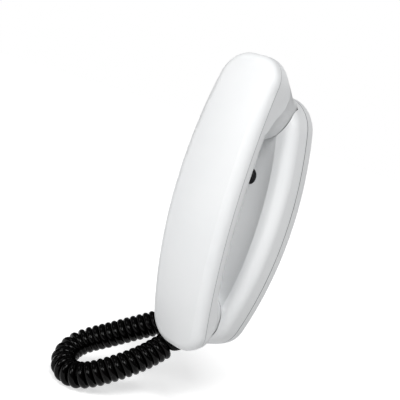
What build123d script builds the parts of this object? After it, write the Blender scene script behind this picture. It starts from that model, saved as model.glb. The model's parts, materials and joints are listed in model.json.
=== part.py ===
from build123d import *

import os
from math import acos, cos, pi, radians, sin, sqrt

os.makedirs("parts", exist_ok=True)

# A slim wall intercom: a handset cradled on a leaf-shaped base, joined by a curly cord.
# Millimetres. X points right, Z points up, and the front of the phone faces -Y.
# The wall is the plane Y = 0, and the origin is the middle of the base's wall face.
# "Front" below is the distance from the wall, so a point at front f has Y = -f.


# Driving dimensions of the base
top_radius = 28.0          # round of the base's upper end
bottom_radius = 25.5       # round of its lower end
top_centre = 67.0          # height of the upper round's centre
bottom_centre = -68.0      # height of the lower round's centre
side_radius = 273.0        # long arcs of the two sides
plate_depth = 7.0          # depth of the rear plate's rim
plate_thickness = 2.0
plate_wall = 1.1
shell_front = 24.0         # front of the base shell, at its crests
shell_wall = 2.0
shell_draft = 5.0          # degrees
shell_round = 8.5          # large round along the base's outer front edge
seam = 0.35                # reveal groove between two shells
groove_depth = 1.0         # of the rebate that runs along the handset's parting line
groove_width = 0.5

# Driving dimensions of the channel behind the grip
channel_depth = 7.0        # below the crests, at mid height
channel_half_width = 23.0  # at the crests, at mid height
channel_half_length = 86.0

# Driving dimensions of the handset
bar_middle = 9.3           # height of the bar's middle
bar_front = 40.8           # front of the chord of its arch
bar_tilt = 3.25            # degrees, the ear end stands further out
bar_half_length = 104.2
bar_half_width = 26.0
bar_corner = 19.5          # round of the bar's ends, seen from the front
bar_bow = 1400.0           # radius of its slightly bowed sides
arch_rise = 17.8           # of the parting line over its chord
cover_crown = 9.6          # outer cover over the parting line
crown_radius = 105.0       # crown across the bar
cover_round = 7.8
grip_depth = 10.0          # inner shell under the parting line
grip_round = 6.0
handset_wall = 2.0

# Driving dimensions of the two cups, which nest in the pockets of the base
pocket_floor = 13.0
pocket_mouth = 28.0
cup_gap = 0.6
ear_gap = 0.95
cup_face = pocket_floor + 1.0
cup_face_round = 2.0
ear_sections = (cup_face, 22.0, 31.0, 38.0, 42.0, 45.0, 47.2, 52.0)
ear_flare_start = 34.0
ear_flare_radius = 14.0
mouth_sections = (cup_face, 20.0, 28.0, 33.0, 37.0, 40.0, 42.2, 46.0)
mouth_flare_start = 31.0
mouth_flare_radius = 12.0

# Driving dimensions of the door release button and the hook plunger
button_height = 33.7
button_radius = 5.8
button_travel = 1.6
button_front = 19.2
plunger_height = 69.0
plunger_radius = 2.6
plunger_travel = 4.0
running_gap = 0.06

# Driving dimensions of the curly cord
wire = 4.0
curl_outer = 18.8
curls = 29.5
first_curl = 210.0         # degrees, where on the first curl the lead from the handset arrives
handset_gland_front = 30.5
base_gland_front = 10.5
base_gland_angle = 215.0   # degrees round the base's lower end

# The line that the middle of the curls follows, from the handset to the base
cord_route = [
    (-13.7, -33.0, -102.0),
    (-15.5, -43.5, -108.8),
    (-19.0, -55.0, -115.5),
    (-26.0, -66.0, -123.5),
    (-35.0, -76.0, -131.5),
    (-44.0, -82.0, -136.0),
    (-56.0, -82.5, -136.5),
    (-65.5, -77.0, -133.0),
    (-69.0, -67.0, -126.5),
    (-64.5, -57.5, -120.0),
    (-53.5, -49.0, -111.5),
    (-43.0, -40.5, -102.5),
    (-30.5, -28.0, -92.0),
]


# Planes and axes

def front_plane(front, x=0.0, z=0.0):
    """Sketch plane parallel to the wall, with its origin at x, z. Extruding goes to the front."""
    return Plane(origin=(x, -front, z), x_dir=(1, 0, 0), z_dir=(0, -1, 0))


tilt = radians(bar_tilt)
along = Vector(0, -sin(tilt), cos(tilt))
outward = Vector(0, -cos(tilt), -sin(tilt))
chord_middle = Vector(0, -bar_front, bar_middle)
arch_radius = (bar_half_length ** 2 + arch_rise ** 2) / (2 * arch_rise)
arch_centre = chord_middle + outward * (arch_rise - arch_radius)
bar_plane = Plane(origin=tuple(chord_middle), x_dir=(1, 0, 0), z_dir=tuple(outward))
arch_axis = Axis(tuple(arch_centre), (-1, 0, 0))
arch_span = 22.0           # degrees each side of the bar's middle, past its ends


def arch_plane(angle):
    """Sketch plane across the bar, angle degrees from its middle. Its y is the distance from the axis."""
    turned = outward * cos(radians(angle)) + along * sin(radians(angle))
    normal = Vector(1, 0, 0).cross(turned)
    return Plane(origin=tuple(arch_centre), x_dir=(1, 0, 0), z_dir=tuple(normal))


# Outlines and blocks that several pieces share

def leaf(inset):
    """Leaf outline of the base, inset millimetres inside the largest one."""
    reach_top = side_radius - top_radius
    reach_bottom = side_radius - bottom_radius
    squares = reach_bottom ** 2 - reach_top ** 2 + top_centre ** 2 - bottom_centre ** 2
    side_height = squares / (2 * (top_centre - bottom_centre))
    side_offset = sqrt(reach_top ** 2 - (top_centre - side_height) ** 2)
    centre = Vector(-side_offset, side_height)
    upper = Vector(0, top_centre)
    lower = Vector(0, bottom_centre)
    upper_end = upper + (upper - centre).normalized() * (top_radius - inset)
    lower_end = lower + (lower - centre).normalized() * (bottom_radius - inset)
    widest = side_radius - inset - side_offset
    with BuildSketch() as outline:
        with BuildLine():
            ThreePointArc((upper_end.X, upper_end.Y), (widest, side_height), (lower_end.X, lower_end.Y))
            ThreePointArc(
                (lower_end.X, lower_end.Y),
                (0, bottom_centre - bottom_radius + inset),
                (-lower_end.X, lower_end.Y),
            )
            ThreePointArc((-lower_end.X, lower_end.Y), (-widest, side_height), (-upper_end.X, upper_end.Y))
            ThreePointArc(
                (-upper_end.X, upper_end.Y), (0, top_centre + top_radius - inset), (upper_end.X, upper_end.Y)
            )
        make_face()
    return outline.sketch


def bar_outline(inset):
    """Outline of the handset seen from the front, inset millimetres inside the largest one."""
    shoulder = bar_half_length - bar_corner
    corner = bar_corner - inset
    end = bar_half_length - inset
    wide = bar_half_width - inset
    narrow = wide - (bar_bow - sqrt(bar_bow ** 2 - shoulder ** 2))
    with BuildSketch() as outline:
        with BuildLine():
            ThreePointArc((narrow, -shoulder), (wide, 0), (narrow, shoulder))
            TangentArc((narrow, shoulder), (narrow - corner, end), tangent=(0, 1))
            Line((narrow - corner, end), (corner - narrow, end))
            TangentArc((corner - narrow, end), (-narrow, shoulder), tangent=(-1, 0))
            ThreePointArc((-narrow, shoulder), (-wide, 0), (-narrow, -shoulder))
            TangentArc((-narrow, -shoulder), (corner - narrow, -end), tangent=(0, -1))
            Line((corner - narrow, -end), (narrow - corner, -end))
            TangentArc((narrow - corner, -end), (narrow, -shoulder), tangent=(1, 0))
        make_face()
    return outline.sketch


def cup_outline(half_width, low, high, low_share, high_share):
    """A cup seen from the front: half an ellipse at each end, as shares of its height, and straight sides."""
    round_low = low_share * (high - low)
    round_high = high_share * (high - low)
    with BuildSketch() as outline:
        with BuildLine():
            EllipticalCenterArc((0, low + round_low), half_width, round_low, 180, arc_size=180)
            Line((half_width, low + round_low), (half_width, high - round_high))
            EllipticalCenterArc((0, high - round_high), half_width, round_high, 0, arc_size=180)
            Line((-half_width, high - round_high), (-half_width, low + round_low))
        make_face()
    return outline.sketch


def flare(front, start, radius):
    """How far a cup's grip side has swung out, where it blends into the back of the grip."""
    climb = min(max(front - start, 0.0) / radius, 1.0)
    return radius * (1 - sqrt(1 - climb ** 2))


def ear_outline(front, growth):
    """The ear cup's section at a distance from the wall. It leans out to the handset's upper end."""
    rise = front - 22.0
    half_width = 19.4 + 0.262 * rise + 0.00006 * rise ** 3
    low = 61.8 - 0.10 * rise - flare(front, ear_flare_start, ear_flare_radius)
    high = 97.0 + 0.72 * rise + 0.0002 * rise ** 3
    high_share = 0.24 + 0.007 * rise
    return cup_outline(half_width + growth, low - growth, high + growth, 0.54, high_share)


def mouth_outline(front, growth):
    """The mouth cup's section at a distance from the wall."""
    rise = front - 20.0
    half_width = 16.0 + 0.50 * rise
    low = -87.5 - 0.36 * rise
    high = -55.0 + 0.46 * rise + flare(front, mouth_flare_start, mouth_flare_radius)
    return cup_outline(half_width + growth, low - growth, high + growth, 0.45, 0.42)


def cup_block(outline, fronts, growth):
    """A cup through its sections at several distances from the wall, grown by a wall or a gap."""
    with BuildPart() as block:
        for front in fronts:
            with BuildSketch(front_plane(front)):
                add(outline(front, growth))
        loft()
    return block.part


def channel_block(growth):
    """The long shallow channel's tool, a spindle whose radius shrinks towards both ends."""
    radius = (channel_half_width ** 2 + channel_depth ** 2) / (2 * channel_depth)
    axis_front = shell_front - channel_depth + radius
    end_radius = radius - channel_depth + growth
    middle_radius = radius + growth
    with BuildPart() as block:
        with BuildSketch(Plane(origin=(0, -axis_front, 0), x_dir=(0, 1, 0), z_dir=(1, 0, 0))):
            with BuildLine():
                ThreePointArc(
                    (end_radius, -channel_half_length), (middle_radius, 0), (end_radius, channel_half_length)
                )
                Polyline(
                    (end_radius, channel_half_length),
                    (0, channel_half_length),
                    (0, -channel_half_length),
                    (end_radius, -channel_half_length),
                )
            make_face()
        revolve(axis=Axis((0, -axis_front, 0), (0, 0, 1)))
    return block.part


def base_block(inset, start):
    """The base shell's outer form from a start front, inset millimetres inside the largest one."""
    with BuildPart() as block:
        with BuildSketch(front_plane(start)):
            add(leaf(inset))
        extrude(amount=shell_front - inset - start, taper=shell_draft)
        fillet(block.edges().group_by(Axis.Y)[0], shell_round - inset)
        add(channel_block(inset), mode=Mode.SUBTRACT)
        pocket = (pocket_floor - inset, pocket_mouth)
        add(cup_block(ear_outline, pocket, ear_gap + inset), mode=Mode.SUBTRACT)
        add(cup_block(mouth_outline, pocket, cup_gap + inset), mode=Mode.SUBTRACT)
    return block.part


def arch_block(low, high, crown):
    """A wide slab along the handset's arch, between two heights over the parting line."""
    half = bar_half_width + 12.0
    with BuildPart() as block:
        with BuildSketch(arch_plane(-arch_span)):
            with BuildLine():
                Line((-half, arch_radius + low), (half, arch_radius + low))
                if crown:
                    drop = crown - sqrt(crown ** 2 - half ** 2)
                    Line((half, arch_radius + low), (half, arch_radius + high - drop))
                    ThreePointArc(
                        (half, arch_radius + high - drop),
                        (0, arch_radius + high),
                        (-half, arch_radius + high - drop),
                    )
                    Line((-half, arch_radius + high - drop), (-half, arch_radius + low))
                else:
                    Line((half, arch_radius + low), (half, arch_radius + high))
                    Line((half, arch_radius + high), (-half, arch_radius + high))
                    Line((-half, arch_radius + high), (-half, arch_radius + low))
            make_face()
        revolve(axis=arch_axis, revolution_arc=2 * arch_span)
    return block.part


def bar_block(inset, low, high, crown):
    """A slab of the arch cut to the handset's outline."""
    reach = 60.0
    with BuildPart() as block:
        with BuildSketch(bar_plane.offset(-reach)):
            add(bar_outline(inset))
        extrude(amount=2 * reach)
        add(arch_block(low, high, crown), mode=Mode.INTERSECT)
    return block.part


# Small shared shapes

def disc(front, radius, depth, x=0.0, z=0.0):
    """Round block on a plane parallel to the wall."""
    with BuildPart() as block:
        with BuildSketch(front_plane(front, x, z)):
            Circle(radius)
        extrude(amount=depth)
    return block.part


def slab(front, width, height, depth, x=0.0, z=0.0, corner=0.0):
    """Rectangular block on a plane parallel to the wall."""
    with BuildPart() as block:
        with BuildSketch(front_plane(front, x, z)):
            if corner:
                RectangleRounded(width, height, corner)
            else:
                Rectangle(width, height)
        extrude(amount=depth)
    return block.part


def screw(plane, head_radius, head_depth, shank_radius, length):
    """Pan-head screw: the plane lies under the head and faces out of it."""
    with BuildPart() as block:
        with BuildSketch(plane):
            Circle(head_radius)
        extrude(amount=head_depth)
        fillet(block.faces().sort_by(Axis(plane.origin, plane.z_dir))[-1].edges(), head_depth * 0.45)
        with BuildSketch(plane):
            Circle(shank_radius)
        extrude(amount=-length)
        top = plane.offset(head_depth)
        with BuildSketch(top):
            Rectangle(head_radius * 1.1, head_radius * 0.28)
            Rectangle(head_radius * 0.28, head_radius * 1.1)
        extrude(amount=-head_depth * 0.55, mode=Mode.SUBTRACT)
    return block.part


# Rear plate, screwed to the wall. It carries the board and the two case screws' bosses

board_x = 44.0
board_z = 72.0
board_middle = 8.0
board_front = 6.0
board_depth = 1.6
board_post_x = 18.0
board_post_z = 31.0
wall_hole_radius = 2.2
wall_hole_spacing = 100.0
cable_hole_radius = 8.0
cable_hole_height = -36.0
case_screw_heights = (84.0, -74.0)
floor_inside = pocket_floor - shell_wall
boss_gap = 0.2

with BuildPart() as wall_plate:
    with BuildSketch(front_plane(0)):
        add(leaf(0))
    extrude(amount=plate_depth)
    fillet(wall_plate.faces().sort_by(Axis.Y)[-1].edges(), 0.6)
    with BuildSketch(front_plane(plate_thickness)):
        add(leaf(plate_wall))
    extrude(amount=plate_depth, mode=Mode.SUBTRACT)
    with BuildSketch(front_plane(plate_thickness)):
        with Locations((0, board_middle)):
            with GridLocations(2 * board_post_x, 2 * board_post_z, 2, 2):
                Circle(2.6)
    extrude(amount=board_front - plate_thickness)
    with BuildSketch(front_plane(plate_thickness)):
        with Locations(*[(0, z) for z in case_screw_heights]):
            Circle(3.4)
    extrude(amount=floor_inside - boss_gap - plate_thickness)
    with BuildSketch(front_plane(plate_thickness + 0.6)):
        with Locations((0, board_middle)):
            with GridLocations(2 * board_post_x, 2 * board_post_z, 2, 2):
                Circle(1.0)
    extrude(amount=board_front, mode=Mode.SUBTRACT)
    with BuildSketch(front_plane(plate_thickness + 0.6)):
        with Locations(*[(0, z) for z in case_screw_heights]):
            Circle(1.4)
    extrude(amount=floor_inside, mode=Mode.SUBTRACT)
    with BuildSketch(front_plane(-1)):
        with GridLocations(0, wall_hole_spacing, 1, 2):
            Circle(wall_hole_radius)
        with Locations((0, cable_hole_height)):
            Circle(cable_hole_radius)
    extrude(amount=plate_thickness + 2, mode=Mode.SUBTRACT)
wall_plate.part.label = "wall_plate"
export_step(wall_plate.part, "parts/wall_plate.step")


# Base shell, with the channel, the two pockets and the holes through its front

shell_start = plate_depth + seam
lip_depth = 2.0
sound_pitch = 3.0
sound_hole_radius = 0.8
sounder_height = -44.0
gland_neck_radius = 2.9
gland_flange_radius = 4.2

gland_turn = radians(base_gland_angle)
gland_out = Vector(cos(gland_turn), 0, sin(gland_turn))
gland_foot = Vector(0, -base_gland_front, bottom_centre)


def base_gland_plane(reach):
    """Sketch plane square to the cord's entry, reach millimetres from the lower round's centre."""
    origin = gland_foot + gland_out * reach
    return Plane(origin=tuple(origin), x_dir=(0, -1, 0), z_dir=tuple(gland_out))


with BuildPart() as base_shell:
    add(base_block(0, shell_start))
    with BuildSketch(front_plane(shell_start - lip_depth)):
        add(leaf(plate_wall + 0.15))
    extrude(amount=lip_depth + 2)
    add(base_block(shell_wall, shell_start - lip_depth - 1), mode=Mode.SUBTRACT)
    for z in case_screw_heights:
        add(disc(floor_inside, 4.4, shell_wall, 0, z))
    with BuildSketch(front_plane(pocket_floor - 1.2)):
        with Locations(*[(0, z) for z in case_screw_heights]):
            Circle(3.0)
    extrude(amount=4, mode=Mode.SUBTRACT)
    with BuildSketch(front_plane(shell_start)):
        with Locations(*[(0, z) for z in case_screw_heights]):
            Circle(1.6)
        with Locations((0, button_height)):
            Circle(button_radius + running_gap)
        with Locations((0, plunger_height)):
            Circle(plunger_radius + running_gap)
        with Locations((0, sounder_height)):
            with GridLocations(sound_pitch, sound_pitch, 3, 3):
                Circle(sound_hole_radius)
    extrude(amount=shell_front, mode=Mode.SUBTRACT)
    with BuildSketch(base_gland_plane(bottom_radius - 6)):
        Circle(gland_neck_radius + 0.05)
    extrude(amount=12, mode=Mode.SUBTRACT)
base_shell.part.label = "base_shell"
export_step(base_shell.part, "parts/base_shell.step")


# Case screws, one in each pocket, hidden when the handset hangs on the base

with BuildPart() as case_screws:
    for z in case_screw_heights:
        add(screw(front_plane(pocket_floor - 1.2, 0, z), 2.7, 1.0, 1.35, 9.0))
case_screws.part.label = "case_screws"
export_step(case_screws.part, "parts/case_screws.step")


# Circuit board and what it carries

with BuildPart() as circuit_board:
    with BuildSketch(front_plane(board_front)):
        with Locations((0, board_middle)):
            RectangleRounded(board_x, board_z, 3.0)
            with GridLocations(2 * board_post_x, 2 * board_post_z, 2, 2):
                Circle(1.25, mode=Mode.SUBTRACT)
    extrude(amount=board_depth)
circuit_board.part.label = "circuit_board"
export_step(circuit_board.part, "parts/circuit_board.step")

board_top = board_front + board_depth

with BuildPart() as board_screws:
    for x in (-board_post_x, board_post_x):
        for z in (board_middle - board_post_z, board_middle + board_post_z):
            add(screw(front_plane(board_top, x, z), 2.1, 0.9, 1.0, 4.8))
board_screws.part.label = "board_screws"
export_step(board_screws.part, "parts/board_screws.step")

terminal_count = 5
terminal_pitch = 5.0
terminal_x = terminal_count * terminal_pitch
terminal_z = 8.0
terminal_depth = 6.4
terminal_height = -20.0

with BuildPart() as terminal_block:
    with BuildSketch(front_plane(board_top)):
        with Locations((0, terminal_height)):
            Rectangle(terminal_x, terminal_z)
    extrude(amount=terminal_depth)
    chamfer(terminal_block.faces().sort_by(Axis.Y)[0].edges().filter_by(Axis.X), 1.0)
    with BuildSketch(front_plane(board_top + 2.4)):
        with Locations((0, terminal_height)):
            with GridLocations(terminal_pitch, 0, terminal_count, 1):
                Circle(1.7)
    extrude(amount=terminal_depth, mode=Mode.SUBTRACT)
    with BuildSketch(Plane(origin=(0, -board_top - 2.0, terminal_height - terminal_z / 2), z_dir=(0, 0, -1))):
        with GridLocations(terminal_pitch, 0, terminal_count, 1):
            Rectangle(2.8, 2.2)
    extrude(amount=-3.0, mode=Mode.SUBTRACT)
terminal_block.part.label = "terminal_block"
export_step(terminal_block.part, "parts/terminal_block.step")

with BuildPart() as terminal_screws:
    for i in range(terminal_count):
        x = (i - (terminal_count - 1) / 2) * terminal_pitch
        add(screw(front_plane(board_top + 4.2, x, terminal_height), 1.6, 0.9, 0.9, 1.7))
terminal_screws.part.label = "terminal_screws"
export_step(terminal_screws.part, "parts/terminal_screws.step")

with BuildPart() as capacitors:
    for x, z in ((18.0, 14.0), (18.0, 3.0)):
        add(disc(board_top, 3.15, 6.2, x, z))
capacitors.part.label = "capacitors"
export_step(capacitors.part, "parts/capacitors.step")

with BuildPart() as speech_chip:
    add(slab(board_top + 0.3, 6.4, 10.2, 2.4, 9.0, 0.0))
    for z in (-3.81, -1.27, 1.27, 3.81):
        for x in (9.0 - 4.2, 9.0 + 4.2):
            add(slab(board_top, 2.2, 0.5, 0.9, x, z))
speech_chip.part.label = "speech_chip"
export_step(speech_chip.part, "parts/speech_chip.step")

socket_x = -12.0
socket_z = 20.0

with BuildPart() as cord_socket:
    add(slab(board_top, 12.0, 5.8, 5.0, socket_x, socket_z))
    add(slab(board_top + 1.2, 10.4, 4.2, 6.0, socket_x, socket_z), mode=Mode.SUBTRACT)
    with BuildSketch(front_plane(board_top + 1.0)):
        with Locations((socket_x, socket_z)):
            with GridLocations(2.5, 0, 4, 1):
                Rectangle(0.64, 0.64)
    extrude(amount=3.4)
cord_socket.part.label = "cord_socket"
export_step(cord_socket.part, "parts/cord_socket.step")


# Call sounder behind the holes of the channel

with BuildPart() as call_sounder:
    with BuildSketch(front_plane(9.6)):
        with Locations((0, sounder_height)):
            Circle(9.0)
    extrude(amount=4.6)
    fillet(call_sounder.faces().sort_by(Axis.Y)[0].edges(), 0.8)
    with BuildSketch(front_plane(13.2)):
        with Locations((0, sounder_height)):
            Circle(1.2)
    extrude(amount=2.0, mode=Mode.SUBTRACT)
call_sounder.part.label = "call_sounder"
export_step(call_sounder.part, "parts/call_sounder.step")

with BuildPart() as sounder_seat:
    with BuildSketch(front_plane(8.6)):
        with Locations((0, sounder_height)):
            Circle(10.6)
            Circle(9.05, mode=Mode.SUBTRACT)
    extrude(amount=6.4)
    with BuildSketch(front_plane(8.6)):
        with Locations((0, sounder_height)):
            Circle(10.6)
            Circle(7.4, mode=Mode.SUBTRACT)
    extrude(amount=1.0)
sounder_seat.part.label = "sounder_seat"
export_step(sounder_seat.part, "parts/sounder_seat.step")


# Door release: a domed button over a push switch and a coil spring

switch_depth = 3.4
actuator_top = 12.0
flange_top = 15.4
flange_depth = 1.4
spring_wire = 0.5
spring_radius = 5.2


def coil_spring(start, end, radius, wire_radius, turns, x, z):
    """Compression spring along the front direction, as one unbroken wire."""
    pitch = (end - start - 2 * wire_radius) / turns
    centre = (x, -(start + wire_radius), z)
    path = Helix(pitch=pitch, height=pitch * turns, radius=radius, center=centre, direction=(0, -1, 0))
    with BuildPart() as block:
        with BuildSketch(Plane(origin=path @ 0, z_dir=path % 0)):
            Circle(wire_radius)
        sweep(path=path, is_frenet=True)
    return block.part


with BuildPart() as release_switch:
    add(slab(board_top, 6.0, 6.0, switch_depth, 0, button_height, 0.4))
    add(disc(board_top + switch_depth, 1.7, actuator_top - board_top - switch_depth, 0, button_height))
release_switch.part.label = "release_switch"
export_step(release_switch.part, "parts/release_switch.step")

dome_radius = 16.0
button_seat = 13.9         # the recess under the button rests on the switch's stem

with BuildPart() as release_button:
    add(disc(flange_top - flange_depth, 6.9, flange_depth, 0, button_height))
    button_depth = button_front - flange_top + flange_depth
    add(disc(flange_top - flange_depth, button_radius, button_depth, 0, button_height))
    with Locations((0, dome_radius - button_front, button_height)):
        Sphere(dome_radius, mode=Mode.INTERSECT)
    rim = button_front - dome_radius + sqrt(dome_radius ** 2 - button_radius ** 2)
    fillet([edge for edge in release_button.edges() if abs(edge.center().Y + rim) < 0.01], 0.9)
    add(disc(flange_top - flange_depth - 1, 4.4, flange_depth + 1, 0, button_height), mode=Mode.SUBTRACT)
    add(disc(button_seat, 1.6, 2.5, 0, button_height))
release_button.part.label = "release_button"
export_step(release_button.part, "parts/release_button.step")

with BuildPart() as release_spring:
    spring_end = flange_top - flange_depth - 0.05
    add(coil_spring(board_top + 0.05, spring_end, spring_radius, spring_wire / 2, 4, 0, button_height))
release_spring.part.label = "release_spring"
export_step(release_spring.part, "parts/release_spring.step")


# Hook switch: a sprung plunger under the ear cup, and the switch that it works

plunger_top = cup_face - 0.15
plunger_flange = floor_inside - 0.3 - plunger_travel
hook_spring_start = plate_thickness + 0.05

with BuildPart() as hook_plunger:
    add(disc(plunger_flange - 1.2, plunger_radius, plunger_top - plunger_flange + 1.2, 0, plunger_height))
    fillet(hook_plunger.faces().sort_by(Axis.Y)[0].edges(), 1.0)
    add(disc(plunger_flange - 1.2, 4.2, 1.2, 0, plunger_height))
hook_plunger.part.label = "hook_plunger"
export_step(hook_plunger.part, "parts/hook_plunger.step")

with BuildPart() as hook_spring:
    add(coil_spring(hook_spring_start, plunger_flange - 1.25, 3.2, 0.22, 4, 0, plunger_height))
hook_spring.part.label = "hook_spring"
export_step(hook_spring.part, "parts/hook_spring.step")

with BuildPart() as hook_switch:
    add(slab(plate_thickness, 5.4, 12.8, 6.0, 9.5, plunger_height, 0.4))
    add(slab(plate_thickness + 6.0, 3.6, 11.0, 0.3, 9.5, plunger_height))
hook_switch.part.label = "hook_switch"
export_step(hook_switch.part, "parts/hook_switch.step")


# Cord entries: a rubber bush in the base and one in the lower end of the handset

bush_reach = bottom_radius + 3.0

with BuildPart() as base_cord_bush:
    with BuildSketch(base_gland_plane(bottom_radius - 3.4)):
        Circle(gland_neck_radius)
    extrude(amount=3.8)
    with BuildSketch(base_gland_plane(bottom_radius + 0.15)):
        Circle(gland_flange_radius)
    extrude(amount=bush_reach - bottom_radius - 0.15, taper=8)
    with BuildSketch(base_gland_plane(bottom_radius - 5.0)):
        Circle(gland_flange_radius)
    extrude(amount=1.6)
base_cord_bush.part.label = "base_cord_bush"
export_step(base_cord_bush.part, "parts/base_cord_bush.step")


# Handset: outer cover over the parting line

screw_heights = (-36.0, 36.0)
boss_radius = 3.2
pilot_radius = 1.4


def cover_block(inset):
    """Outer cover's form, inset millimetres inside the largest one, with its large round."""
    with BuildPart() as block:
        add(bar_block(inset, 0, cover_crown - inset, crown_radius - inset))
        outer = [face for face in block.faces() if face.normal_at().dot(outward) > 0.8]
        fillet(outer[0].edges(), cover_round - inset)
    return block.part


def bar_point(height, rise, x=0.0):
    """A point height millimetres along the bar's chord from its middle, and rise millimetres over it."""
    return chord_middle + along * height + outward * rise + Vector(x, 0, 0)


def arch_over(height, offset):
    """Rise over the chord of the line offset millimetres over the parting line."""
    return arch_rise - arch_radius + sqrt((arch_radius + offset) ** 2 - height ** 2)


boss_start = 16.4          # over the chord, just clear of the inner shell's posts
boss_end = 24.2            # inside the cover's wall
pilot_end = 21.4

with BuildPart() as handset_cover:
    add(cover_block(0))
    add(cover_block(handset_wall), mode=Mode.SUBTRACT)
    with BuildSketch(bar_plane.offset(boss_start)):
        with Locations(*[(0, height) for height in screw_heights]):
            Circle(boss_radius)
    extrude(amount=boss_end - boss_start)
    with BuildSketch(bar_plane.offset(boss_start)):
        with Locations(*[(0, height) for height in screw_heights]):
            Circle(pilot_radius)
    extrude(amount=pilot_end - boss_start, mode=Mode.SUBTRACT)
handset_cover.part.label = "handset_cover"
export_step(handset_cover.part, "parts/handset_cover.step")


# Handset: inner shell with the back of the grip, the ear cup and the mouth cup

ear_centre = 78.3
mouth_centre = -72.0
receiver_radius = 12.0
receiver_front = cup_face + handset_wall + 1.2
receiver_depth = 8.0
post_radius = 4.6
head_recess = 3.1
screw_seat = -3.4          # height of the screws' seats over the parting line
post_top = -1.5
gland_hole = 2.45


def grip_block(inset):
    """Inner shell's bar, inset millimetres inside the largest one."""
    with BuildPart() as block:
        add(bar_block(seam + inset, inset - grip_depth, 0, 0))
        under = [face for face in block.faces() if face.normal_at().dot(outward) < -0.8]
        fillet(under[0].edges(), grip_round - inset)
    return block.part


def cup_pair(inset, face_round):
    """Both cups, trimmed to the handset's outline and to the parting line."""
    with BuildPart() as block:
        for outline, sections in ((ear_outline, ear_sections), (mouth_outline, mouth_sections)):
            fronts = (sections[0] + inset,) + sections[1:]
            with BuildPart(mode=Mode.PRIVATE) as cup:
                add(cup_block(outline, fronts, -inset))
                if face_round:
                    fillet(cup.faces().sort_by(Axis.Y)[-1].edges(), face_round)
            add(cup.part)
        add(bar_block(seam + inset, -60.0, 0, 0), mode=Mode.INTERSECT)
    return block.part


def post(height, low, high, radius):
    """Round block across the bar between two heights over the parting line."""
    foot = tuple(bar_point(height, arch_over(height, low)))
    start = Plane(origin=foot, x_dir=(1, 0, 0), z_dir=tuple(outward))
    with BuildPart() as block:
        with BuildSketch(start):
            Circle(radius)
        extrude(amount=arch_over(height, high) - arch_over(height, low))
    return block.part


def parting_groove():
    """A frame round the handset that lowers the inner shell's outer edge and leaves a lip inside it."""
    with BuildPart() as block:
        add(bar_block(-2.0, -groove_width, 2.0, 0))
        add(bar_block(seam + groove_depth, -groove_width - 1.0, 3.0, 0), mode=Mode.SUBTRACT)
    return block.part


with BuildPart() as handset_inner_shell:
    add(grip_block(0))
    add(cup_pair(0, cup_face_round))
    add(parting_groove(), mode=Mode.SUBTRACT)
    add(grip_block(handset_wall), mode=Mode.SUBTRACT)
    add(cup_pair(handset_wall, 0), mode=Mode.SUBTRACT)
    for height in screw_heights:
        add(post(height, handset_wall - grip_depth - 1.0, post_top, post_radius))
        add(post(height, -grip_depth - 1.0, screw_seat, head_recess), mode=Mode.SUBTRACT)
        add(post(height, screw_seat - 1.0, post_top + 1.0, pilot_radius), mode=Mode.SUBTRACT)
    with BuildSketch(front_plane(cup_face + handset_wall - 0.5, 0, ear_centre)):
        Circle(receiver_radius + 1.2)
        Circle(receiver_radius + 0.1, mode=Mode.SUBTRACT)
    extrude(amount=4.0)
    with BuildSketch(front_plane(cup_face - 1)):
        with Locations((0, ear_centre + 1.0)):
            Circle(0.9)
            with PolarLocations(4.6, 6):
                Circle(0.9)
        with Locations((0, mouth_centre)):
            with PolarLocations(2.0, 3, start_angle=90):
                Circle(0.8)
    extrude(amount=handset_wall + 1.5, mode=Mode.SUBTRACT)
    with BuildSketch(Plane(origin=(0, -handset_gland_front, -87.5), x_dir=(1, 0, 0), z_dir=(0, 0, -1))):
        Circle(gland_hole)
    extrude(amount=9.5, mode=Mode.SUBTRACT)
handset_inner_shell.part.label = "handset_inner_shell"
export_step(handset_inner_shell.part, "parts/handset_inner_shell.step")


# Handset screws, from the back of the grip

with BuildPart() as handset_screws:
    for height in screw_heights:
        seat = bar_point(height, arch_over(height, screw_seat))
        add(screw(Plane(origin=tuple(seat), x_dir=(1, 0, 0), z_dir=tuple(-outward)), 2.6, 1.6, 1.35, 7.0))
handset_screws.part.label = "handset_screws"
export_step(handset_screws.part, "parts/handset_screws.step")


# Earpiece: the receiver capsule on its gasket, in the ring of the ear cup

with BuildPart() as receiver_capsule:
    add(disc(receiver_front, receiver_radius, receiver_depth - 1.4, 0, ear_centre))
    fillet(receiver_capsule.faces().sort_by(Axis.Y)[0].edges(), 0.8)
    add(disc(receiver_front + receiver_depth - 1.4, 7.5, 1.4, 0, ear_centre))
    with BuildSketch(front_plane(receiver_front)):
        with Locations((0, ear_centre)):
            with PolarLocations(4.6, 6):
                Circle(1.0)
    extrude(amount=0.8, mode=Mode.SUBTRACT)
receiver_capsule.part.label = "receiver_capsule"
export_step(receiver_capsule.part, "parts/receiver_capsule.step")

with BuildPart() as receiver_gasket:
    with BuildSketch(front_plane(cup_face + handset_wall + 0.02)):
        with Locations((0, ear_centre)):
            Circle(receiver_radius)
            Circle(receiver_radius - 3.6, mode=Mode.SUBTRACT)
    extrude(amount=1.16)
receiver_gasket.part.label = "receiver_gasket"
export_step(receiver_gasket.part, "parts/receiver_gasket.step")


# Microphone: an electret capsule in a rubber holder on the floor of the mouth cup

microphone_radius = 4.85
microphone_front = cup_face + handset_wall + 1.0

with BuildPart() as microphone_capsule:
    add(disc(microphone_front, microphone_radius, 4.5, 0, mouth_centre))
    fillet(microphone_capsule.edges().filter_by(GeomType.CIRCLE), 0.5)
microphone_capsule.part.label = "microphone_capsule"
export_step(microphone_capsule.part, "parts/microphone_capsule.step")

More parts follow.
